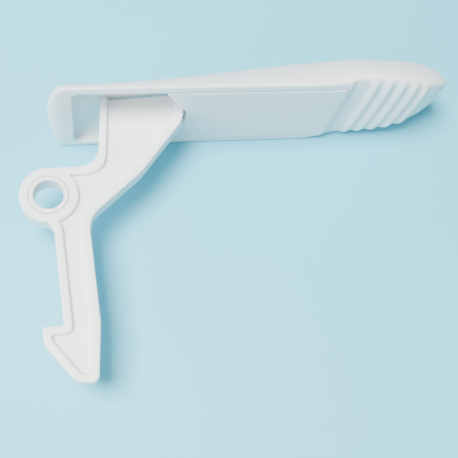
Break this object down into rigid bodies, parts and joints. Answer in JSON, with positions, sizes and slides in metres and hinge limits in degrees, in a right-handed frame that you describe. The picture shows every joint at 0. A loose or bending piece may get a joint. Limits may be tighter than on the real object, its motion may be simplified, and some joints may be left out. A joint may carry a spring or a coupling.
{
  "type": "stair gate latch",
  "caption": "Hooked latch lever for a stair gate: flat arm with pivot eye and barb, under a domed handle that slides back against a spring and lifts.",
  "frame": {"origin": "centre of the pivot bore, on the lever's middle plane", "axes": "+X along the handle from its heel to its grip end, +Y up in use from the pivot to the handle's crown, +Z along the pivot axis; the part lies on its side, as in the picture, so +Z is up"},
  "size_m": [0.1121, 0.0781, 0.0304],
  "materials": {
    "bush": "moulded, plain",
    "arm": "semi-matte white moulding",
    "spring": "drawn wire",
    "handle": "semi-matte white moulding",
    "cover": "semi-matte white moulding"
  },
  "bodies": {
    "gate_pivot": {"pivot_bush": "bush"},
    "lever": {"hook_arm": "arm", "return_spring": "spring"},
    "handle": {"handle_shell": "handle", "handle_cover": "cover"}
  },
  "joints": [
    {"name": "lever_lift", "type": "hinge", "parent": "gate_pivot", "child": "lever", "pos_m": [0, 0, 0], "axis": [0, 0, 1], "range_deg": [0, 25]},
    {"name": "handle_slide", "type": "slide", "parent": "lever", "child": "handle", "axis": [1, 0, 0], "range_m": [0, 0.006], "stiffness_N_per_m": 350, "springref_m": -0.006, "deforming": ["return_spring"]}
  ]
}
